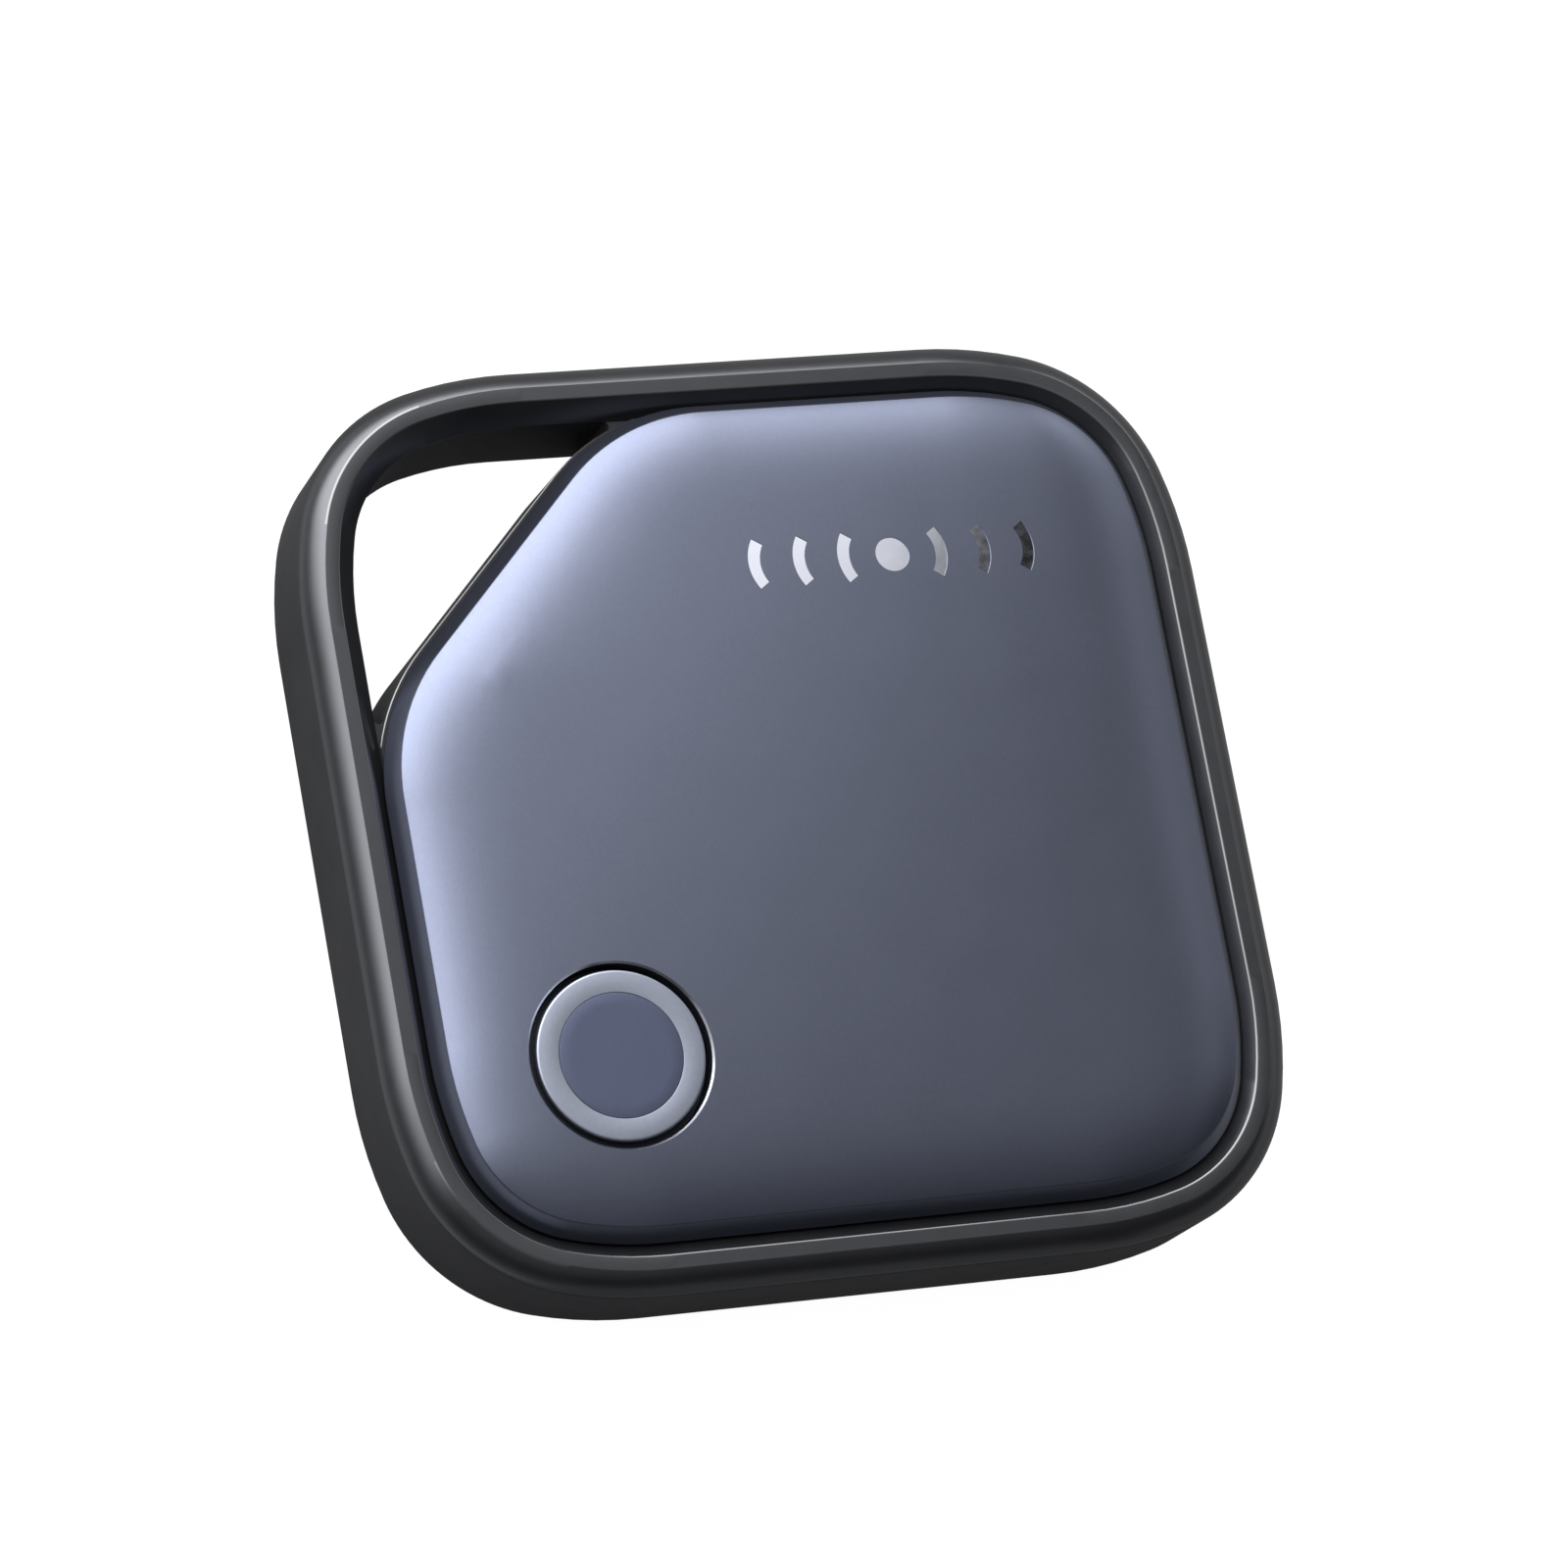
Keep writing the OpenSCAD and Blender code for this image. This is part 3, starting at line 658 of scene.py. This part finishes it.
def wave_outline(x):
    """One wave of the mark: a bent bar with rounded ends."""
    r, w, spread_a = 1.9, 0.5, 34.0
    cx = x - r
    outer = arc((cx, 0), r, -spread_a, spread_a, 16)
    inner = arc((cx, 0), r - w, spread_a, -spread_a, 14)
    return [(p[0], p[1]) for p in outer + inner]


def mark_outlines():
    outlines = [circle((0, 0), 0.72, 40)]
    for k in (1, 2, 3):
        wave = wave_outline(0.45 + 1.9 * k)
        outlines += [wave, [(-x, y) for x, y in reversed(wave)]]
    return [[(MARK.x + x, MARK.y + y) for x, y in o] for o in outlines]


def inside(point, outline):
    x, y = point
    hit = False
    for (x0, y0), (x1, y1) in zip(outline, outline[1:] + outline[:1]):
        if (y0 > y) != (y1 > y) and x < (x1 - x0) * (y - y0) / (y1 - y0) + x0:
            hit = not hit
    return hit


def roll(d):
    """Rise of the edge roll at a distance in from the edge, and its slope."""
    t = max(0.0, 1 - d / ROLL_W)
    return ROLL_H * (1 - t**ROLL_N), ROLL_H * ROLL_N / ROLL_W * t ** (ROLL_N - 1)


def solve_pillow(points, triangles, fixed):
    """A soap-film pillow over the triangles: zero on the fixed points, one at its top."""
    p = points[triangles]
    e = [p[:, 2] - p[:, 1], p[:, 0] - p[:, 2], p[:, 1] - p[:, 0]]
    area = np.abs(e[2][:, 0] * e[1][:, 1] - e[2][:, 1] * e[1][:, 0]) / 2
    rows, cols, vals = [], [], []
    for i in range(3):
        for j in range(3):
            rows.append(triangles[:, i])
            cols.append(triangles[:, j])
            vals.append((e[i] * e[j]).sum(1) / (4 * area))
    rows, cols, vals = map(np.concatenate, (rows, cols, vals))
    n = len(points)
    load = np.bincount(triangles.ravel(), np.repeat(area / 3, 3), n)
    free = ~fixed
    load[fixed] = 0
    diagonal = np.bincount(rows[rows == cols], vals[rows == cols], n)

    def stiffness(v):
        return np.where(free, np.bincount(rows, vals * v[cols], n), 0)

    u = np.zeros(n)
    r = load.copy()
    z = r / diagonal
    direction = z.copy()
    rz = r @ z
    for _ in range(700):
        q = stiffness(direction)
        alpha = rz / (direction @ q)
        u += alpha * direction
        r -= alpha * q
        z = r / diagonal
        rz, old = r @ z, rz
        if rz < 1e-16:
            break
        direction = z + rz / old * direction
    return u / u.max()


def cover_plan(marks):
    """The cover's top as seen from above: points, their index, triangles, quads, and both ring lists."""
    rings = [0, 0.03, 0.08, 0.15, 0.25, 0.38, 0.54, 0.74, 0.98, 1.26, 1.58, 1.92, 2.25]
    ring_points = [cover_outline(DOME_EDGE - d) for d in rings]
    n = len(ring_points[0])
    border = ring_points[-1]
    circles = [circle(BUTTON, r, BORE_N) for r in (BORE_R, CHAMFER_OUT, CHAMFER_OUT + 0.25)]
    loops = [border] + circles + marks
    points = [p for o in loops for p in o]
    edges, start = [], 0
    for o in loops:
        edges += [(start + i, start + (i + 1) % len(o)) for i in range(len(o))]
        start += len(o)
    taken = np.array(points)
    pitch = 0.5
    inner_edge = DOME_EDGE - rings[-1] - 0.25
    rows = int(2 * HALF / (pitch * 0.866))
    for j in range(rows):
        for i in range(int(2 * HALF / pitch)):
            x = -HALF + pitch * (i + 0.5 * (j % 2))
            y = -HALF + pitch * 0.866 * j
            if offset_at(x, y)[0] > inner_edge:
                continue
            gap = np.hypot(taken[:, 0] - x, taken[:, 1] - y).min()
            if gap > 0.22:
                points.append((x, y))
    _, _, tris, sources, _, _ = delaunay_2d_cdt([Vector(p) for p in points], edges, [], 0, 1e-6)
    flat = [points[s[0]] for s in sources]
    index = {points[i]: k for k, s in enumerate(sources) for i in s}
    tris = [tuple(t) for t in tris if inside(np.mean([flat[i] for i in t], axis=0), border)]
    # the rings outside the border, as triangles for the solver and quads for the mesh
    border_ids = [index[p] for p in border]
    ring_ids = []
    for ring in ring_points[:-1]:
        ring_ids.append(list(range(len(flat), len(flat) + n)))
        flat += ring
    ring_ids.append(border_ids)
    quads = [
        (ring_ids[k][i], ring_ids[k][(i + 1) % n], ring_ids[k + 1][(i + 1) % n], ring_ids[k + 1][i])
        for k in range(len(rings) - 1)
        for i in range(n)
    ]
    return flat, index, tris, quads, ring_ids, circles


def slopes_of(values, xy, triangles):
    """The slope of the values at each point, averaged over the triangles round it by their area."""
    (x0, x1, x2), (y0, y1, y2) = xy[triangles][:, :, 0].T, xy[triangles][:, :, 1].T
    u0, u1, u2 = values[triangles].T
    area2 = (x1 - x0) * (y2 - y0) - (y1 - y0) * (x2 - x0)
    gx = (u0 * (y1 - y2) + u1 * (y2 - y0) + u2 * (y0 - y1)) / area2
    gy = (u0 * (x2 - x1) + u1 * (x0 - x2) + u2 * (x1 - x0)) / area2
    weight = np.abs(area2)
    slope = np.zeros((len(xy), 2))
    total = np.bincount(triangles.ravel(), np.repeat(weight, 3), len(xy))
    for axis, g in ((0, gx), (1, gy)):
        share = np.bincount(triangles.ravel(), np.repeat(weight * g, 3), len(xy))
        slope[:, axis] = share / total
    return slope


def cover_surface(flat, tris, quads, fixed_ids):
    """Height, slope and normal of the crowned top at each point of the plan."""
    solver = np.array(tris + [t for a, b, c, d in quads for t in ((a, b, c), (a, c, d))])
    xy = np.array(flat)
    fixed = np.zeros(len(xy), bool)
    fixed[fixed_ids] = True
    pillow = solve_pillow(xy, solver, fixed)
    slope = slopes_of(pillow, xy, solver)
    height = np.zeros(len(xy))
    for i, (x, y) in enumerate(flat):
        a, nx, ny = offset_at(x, y)
        rise, rate = roll(DOME_EDGE - a)
        height[i] = EDGE_Z + rise + PILLOW_H * pillow[i]
        slope[i] = slope[i] * PILLOW_H - np.array([nx, ny]) * rate
    normals = np.column_stack([-slope, np.ones(len(xy))])
    normals /= np.linalg.norm(normals, axis=1)[:, None]
    return height, slope, normals


def from_button(point):
    return math.hypot(point[0] - BUTTON.x, point[1] - BUTTON.y)


def bridge(a, b):
    m = len(a)
    return [(a[i], a[(i + 1) % m], b[(i + 1) % m], b[i]) for i in range(m)]


def build_cover_and_mark():
    """The cover, open for the button and recessed for the mark; gives the surface at the button."""
    marks = mark_outlines()
    flat, index, tris, quads, ring_ids, circles = cover_plan(marks)
    height, slope, normals = cover_surface(flat, tris, quads, ring_ids[0])

    top_faces, mark_faces = [], []
    for t in tris:
        c = np.mean([flat[i] for i in t], axis=0)
        if from_button(c) < CHAMFER_OUT:
            continue
        near = abs(c[0] - MARK.x) < 7 and abs(c[1] - MARK.y) < 2
        (mark_faces if near and any(inside(c, m) for m in marks) else top_faces).append(t)
    verts = [(x, y, height[i]) for i, (x, y) in enumerate(flat)]
    faces = [tuple(t) for t in top_faces] + quads
    smooth_count = len(faces)

    def add_ring(points3):
        ids = list(range(len(verts), len(verts) + len(points3)))
        verts.extend(points3)
        return ids

    def ids_of(outline):
        return [index[p] for p in outline]

    # outside: a small fillet at the dome's edge, the flared side, the flange and the underside
    outside = [
        (DOME_EDGE + 0.025, EDGE_Z - 0.018), (DOME_EDGE + 0.048, EDGE_Z - 0.045),
        (DOME_EDGE + 0.068, EDGE_Z - 0.075),
        (HALF - 2.05, FLARE_Z + 0.04), (HALF - 2.025, FLARE_Z - 0.01), (HALF - 2.03, FLARE_Z - 0.05),
        (HALF - 2.45, SEAM_Z + 0.36), (HALF - 2.45, COVER_LOW), (DOME_EDGE - 0.7, COVER_LOW),
        (DOME_EDGE - 0.9, SEAM_Z + 0.5), (DOME_EDGE - 1.6, SEAM_Z + 0.85), (MESH_EDGE, SEAM_Z + 1.0),
    ]
    previous = ring_ids[0]
    for a, z in outside:
        ids = add_ring(at_height(cover_outline(a), z))
        faces += bridge(previous, ids)
        previous = ids
    # the bore's chamfer and wall, and the flat underside round it
    rim = ids_of(circles[1])
    chamfer_start = len(faces)
    gap = CHAMFER_OUT - BORE_R
    bore_top = add_ring([(x, y, height[rim[i]] - gap) for i, (x, y) in enumerate(circles[0])])
    faces += bridge(rim, bore_top)
    chamfer_end = len(faces)
    bore_low = add_ring(at_height(circles[0], SEAM_Z + 1.0))
    faces += bridge(bore_top, bore_low)
    under = [verts[i][:2] for i in previous] + circles[0]
    m = len(previous)
    ring_edges = [(i, (i + 1) % m) for i in range(m)]
    ring_edges += [(m + i, m + (i + 1) % BORE_N) for i in range(BORE_N)]
    points = [Vector(q) for q in under]
    _, _, under_tris, sources, _, _ = delaunay_2d_cdt(points, ring_edges, [], 0, 1e-6)
    both = [(previous + bore_low)[s[0]] for s in sources]
    under = [under[s[0]] for s in sources]
    outline_under = [verts[i][:2] for i in previous]
    for t in under_tris:
        c = np.mean([under[i] for i in t], axis=0)
        if inside(c, outline_under) and from_button(c) >= BORE_R:
            faces.append(tuple(both[i] for i in reversed(t)))
    # recesses under the mark
    floor_ids = {}
    for t in mark_faces:
        for i in t:
            if i not in floor_ids:
                floor_ids[i] = len(verts)
                verts.append((flat[i][0], flat[i][1], height[i] - MARK_DEPTH))
        faces.append(tuple(floor_ids[i] for i in t))
    for m_outline in marks:
        top = ids_of(m_outline)
        faces += bridge([floor_ids[i] for i in top], top)

    mesh = bpy.data.meshes.new("cover")
    mesh.from_pydata([tuple(c * MM for c in v) for v in verts], [], faces)
    for i, poly in enumerate(mesh.polygons):
        poly.use_smooth = True
        poly.material_index = 1 if chamfer_start <= i < chamfer_end else 0
    for material in (M["cover_slate"], CHAMFER_BRIGHT):
        mesh.materials.append(material)
    bm = bmesh.new()
    bm.from_mesh(mesh)
    loose = [v for v in bm.verts if not v.link_faces]
    keep = [v.index for v in bm.verts if v.link_faces]
    bmesh.ops.delete(bm, geom=loose, context="VERTS")
    bmesh.ops.recalc_face_normals(bm, faces=bm.faces)
    for e in bm.edges:
        e.smooth = len(e.link_faces) == 2 and e.calc_face_angle(0) < math.radians(30)
    bm.to_mesh(mesh)
    bm.free()
    mesh.update()
    corner_normals = np.zeros(len(mesh.loops) * 3, np.float32)
    mesh.corner_normals.foreach_get("vector", corner_normals)
    corner_normals = corner_normals.reshape(-1, 3)
    for poly in mesh.polygons[:smooth_count]:
        for k in poly.loop_indices:
            corner_normals[k] = normals[keep[mesh.loops[k].vertex_index]]
    mesh.normals_split_custom_set([tuple(v) for v in corner_normals])
    cover = bpy.data.objects.new("cover", mesh)
    bpy.context.scene.collection.objects.link(cover)
    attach(cover, "case")
    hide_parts("front_cover")
    build_inlay(flat, height, mark_faces, [ids_of(outline) for outline in marks])

    edge = [i for i in range(len(flat)) if abs(from_button(flat[i]) - CHAMFER_OUT) < 0.01]
    return float(np.mean(height[edge])), np.mean(slope[edge], axis=0)


def build_inlay(flat, height, mark_faces, outlines):
    """The polished mark, a little below the cover's surface, standing on the recess floor."""
    inlay_verts, inlay_faces = [], []
    low_of, top_of = {}, {}
    for t in mark_faces:
        for i in t:
            if i not in top_of:
                x, y = flat[i]
                top_of[i] = len(inlay_verts)
                inlay_verts.append((x, y, height[i] - 0.03))
                low_of[i] = len(inlay_verts)
                inlay_verts.append((x, y, height[i] - MARK_DEPTH + 0.01))
        inlay_faces.append(tuple(top_of[i] for i in t))
        inlay_faces.append(tuple(low_of[i] for i in reversed(t)))
    for ids in outlines:
        inlay_faces += bridge([low_of[i] for i in ids], [top_of[i] for i in ids])
    polished = M["mark_polished"]
    piece("mark", inlay_verts, inlay_faces, polished, "case", "signal_mark", 30, weighted=False)


# ---------------------------------------------------------------- button


def build_button(surface_z, tilt):
    """The ring and the disc, sheared so that their tops follow the cover's slope there."""
    ring_z = surface_z - 0.03

    def sheared(rings):
        def lifted(x, y, z):
            share = min(1.0, max(0.0, (z - CARRIER_Z) / 0.2))
            return x, y, z + (tilt[0] * (x - BUTTON.x) + tilt[1] * (y - BUTTON.y)) * share

        return [[lifted(*point) for point in ring] for ring in rings]

    bore = DISC_R + 0.015
    profile = rounded(
        [(bore, CARRIER_Z), (BUTTON_R, CARRIER_Z), (BUTTON_R, ring_z), (bore, ring_z)],
        [0, 0, 0.11, 0.02],
    )
    verts, faces = loft(sheared(revolve(profile, BUTTON)), closed=True)
    piece("press_ring", verts, faces, M["ring_silver"], "button", "button_ring", 40)
    edge_z, middle_z = ring_z + 0.005, ring_z + 0.01
    profile = rounded(
        [(0.0, CARRIER_Z), (DISC_R, CARRIER_Z), (DISC_R, edge_z), (0.0, middle_z)], [0, 0, 0.015, 0]
    )
    crown = [(DISC_R * (1 - k / 6) * 0.97, edge_z + (middle_z - edge_z) * k / 6) for k in range(1, 6)]
    steps = profile[:-1] + crown + [profile[-1]]
    verts, faces = loft(sheared(revolve(steps, BUTTON)), caps=False)
    piece("press_disc", verts, faces, M["disc_slate"], "button", "button_disc", 40)


# ---------------------------------------------------------------- back cover


def build_back():
    """The shell with its lip, the ring that holds the sounder's foam, and seven countersunk holes."""
    edge = BACK_EDGE
    lip_a = LOWER_BAY - INNER_GAP
    inner = lip_a - 0.7
    floor_z = 1.0
    profile = [
        (edge - 0.95, 0.0), (edge - 0.75, 0.02), (edge - 0.5, 0.09), (edge - 0.25, 0.22),
        (edge - 0.08, 0.4), (edge, 0.65), (edge, WALL_Z - 0.06), (edge - 0.04, WALL_Z - 0.02),
        (lip_a, WALL_Z - 0.02), (lip_a, BACK_TOP - 0.2), (lip_a - 0.06, BACK_TOP - 0.06),
        (lip_a - 0.2, BACK_TOP), (inner, BACK_TOP), (inner, floor_z),
    ]
    mesh = solid_mesh("back", [at_height(cover_outline(a), z) for a, z in profile])
    foam_ring, foam_hole = circle(PIEZO, PIEZO_R - 0.1), circle(PIEZO, 4.3)
    ring = combined(prism(foam_ring, 0.9, 1.9), prism(foam_hole, 0, 5), "DIFFERENCE")
    mesh = combined(mesh, ring, "UNION")
    hole_r, hole_pitch = 0.45, 1.9
    turns = [math.radians(60 * k) for k in range(6)]
    holes = [(PIEZO.x, PIEZO.y)]
    holes += [(PIEZO.x + hole_pitch * math.cos(t), PIEZO.y + hole_pitch * math.sin(t)) for t in turns]
    for h in holes:
        flared = ((hole_r + 0.15, -0.1), (hole_r, 0.12), (hole_r, 3))
        cutter = solid_mesh("hole", [at_height(circle(h, r, 32), z) for r, z in flared])
        mesh = combined(mesh, cutter, "DIFFERENCE")
    finish_piece("back_shell", mesh, M["back_black"], "back", "rear_cover", 30)


build_bezel()
build_housing()
build_chassis()
SURFACE_Z, SURFACE_TILT = build_cover_and_mark()
build_button(SURFACE_Z, SURFACE_TILT)
build_back()


# ---------------------------------------------------------------- stage, light and camera


def build_floor():
    """A pale, faintly glowing floor. Reflections see it bright on the left only."""
    mesh = bpy.data.meshes.new("floor")
    s, floor_z = 3.0, -0.00005
    corners = ((-s, -s), (s, -s), (s, s), (-s, s))
    mesh.from_pydata([(x, y, floor_z) for x, y in corners], [], [(0, 1, 2, 3)])
    m, nodes, links, bsdf = new_material("floor_white")
    shader(bsdf, color=(0.10, 0.10, 0.10), rough=0.9, specular=0.0)
    bsdf.inputs["Emission Color"].default_value = (1, 1, 1, 1)
    glow = nodes.new("ShaderNodeMapRange")
    glow.inputs["To Min"].default_value = 0.97
    links.new(nodes.new("ShaderNodeLightPath").outputs["Is Glossy Ray"], glow.inputs["Value"])
    place = nodes.new("ShaderNodeSeparateXYZ")
    links.new(nodes.new("ShaderNodeTexCoord").outputs["Object"], place.inputs["Vector"])
    side = nodes.new("ShaderNodeMapRange")
    for socket, value in zip(("From Min", "From Max", "To Min", "To Max"), (-0.05, -0.02, 1.1, 0.1)):
        side.inputs[socket].default_value = value
    links.new(place.outputs["X"], side.inputs["Value"])
    links.new(side.outputs["Result"], glow.inputs["To Max"])
    links.new(glow.outputs["Result"], bsdf.inputs["Emission Strength"])
    mesh.materials.append(m)
    floor = bpy.data.objects.new("floor", mesh)
    bpy.context.scene.collection.objects.link(floor)


KEY_SIDE, KEY_LEVEL = (-0.513, 0.858, 0.0), 9.5


def build_light():
    """A studio as one smooth sky: a soft key over the upper left, dim fills and a narrow dark flag."""
    world = bpy.data.worlds.new("studio")
    world.use_nodes = True
    nodes, links = world.node_tree.nodes, world.node_tree.links
    direction = nodes.new("ShaderNodeTexCoord").outputs["Generated"]

    def along(axis):
        dot = nodes.new("ShaderNodeVectorMath")
        dot.operation = "DOT_PRODUCT"
        dot.inputs[1].default_value = Vector(axis).normalized()
        links.new(direction, dot.inputs[0])
        return dot.outputs["Value"]

    def fade(source, start, end, low, high):
        step = nodes.new("ShaderNodeMapRange")
        step.interpolation_type = "SMOOTHSTEP"
        for socket, value in zip(("From Min", "From Max", "To Min", "To Max"), (start, end, low, high)):
            step.inputs[socket].default_value = value
        links.new(source, step.inputs["Value"])
        return step.outputs["Result"]

    def mixed(operation, *sources):
        total = sources[0]
        for source in sources[1:]:
            math_node = nodes.new("ShaderNodeMath")
            math_node.operation = operation
            links.new(total, math_node.inputs[0])
            links.new(source, math_node.inputs[1])
            total = math_node.outputs["Value"]
        return total

    x, y, z = along((1, 0, 0)), along((0, 1, 0)), along((0, 0, 1))
    key = mixed(
        "MULTIPLY",
        fade(along(KEY_SIDE), -0.02, 0.80, 0.0, KEY_LEVEL),
        fade(z, 0.16, 0.38, 0.0, 1.0),
        fade(x, -1.0, -0.5, 0.0, 1.0),
    )
    right_fill = mixed(
        "MULTIPLY",
        fade(x, 0.50, 0.80, 0.0, 1.9),
        fade(y, -0.15, 0.70, 0.0, 1.0),
        fade(z, 0.10, 0.25, 0.0, 1.0),
    )
    horizon = mixed("MULTIPLY", fade(z, 0.35, 0.0, 0.0, 0.7), fade(y, -0.8, 0.1, 0.6, 1.0))
    top_fill = mixed(
        "MULTIPLY",
        fade(z, 0.45, 0.75, 0.0, 1.0),
        fade(y, -0.3, 0.3, 0.32, 0.65),
        fade(x, 0.35, 0.65, 1.0, 0.65),
    )
    level = mixed("ADD", key, right_fill, top_fill, fade(z, 0.75, 0.98, 0.04, 0.26), horizon)
    nodes["Background"].inputs["Color"].default_value = (1, 1, 1, 1)
    flag = mixed("MAXIMUM", fade(x, 0.385, 0.415, 1.0, 0.0), fade(x, 0.47, 0.60, 0.0, 1.0))
    links.new(mixed("MULTIPLY", level, flag), nodes["Background"].inputs["Strength"])
    bpy.context.scene.world = world


def build_camera():
    data = bpy.data.cameras.new("camera")
    data.sensor_width = 36
    data.lens = 185.8
    camera = bpy.data.objects.new("camera", data)
    forward = Vector((0.35538, 0.25755, -0.89854)).normalized()
    up = Vector((0.07568, 0.95020, 0.30230))
    right = forward.cross(up).normalized()
    up = right.cross(forward)
    axes = Matrix((right, up, -forward)).transposed().to_4x4()
    camera.matrix_world = Matrix.Translation((-0.11425, -0.08144, 0.29344)) @ axes
    bpy.context.scene.collection.objects.link(camera)
    bpy.context.scene.camera = camera


build_floor()
build_light()
build_camera()
bpy.context.scene.view_settings.view_transform = "Standard"
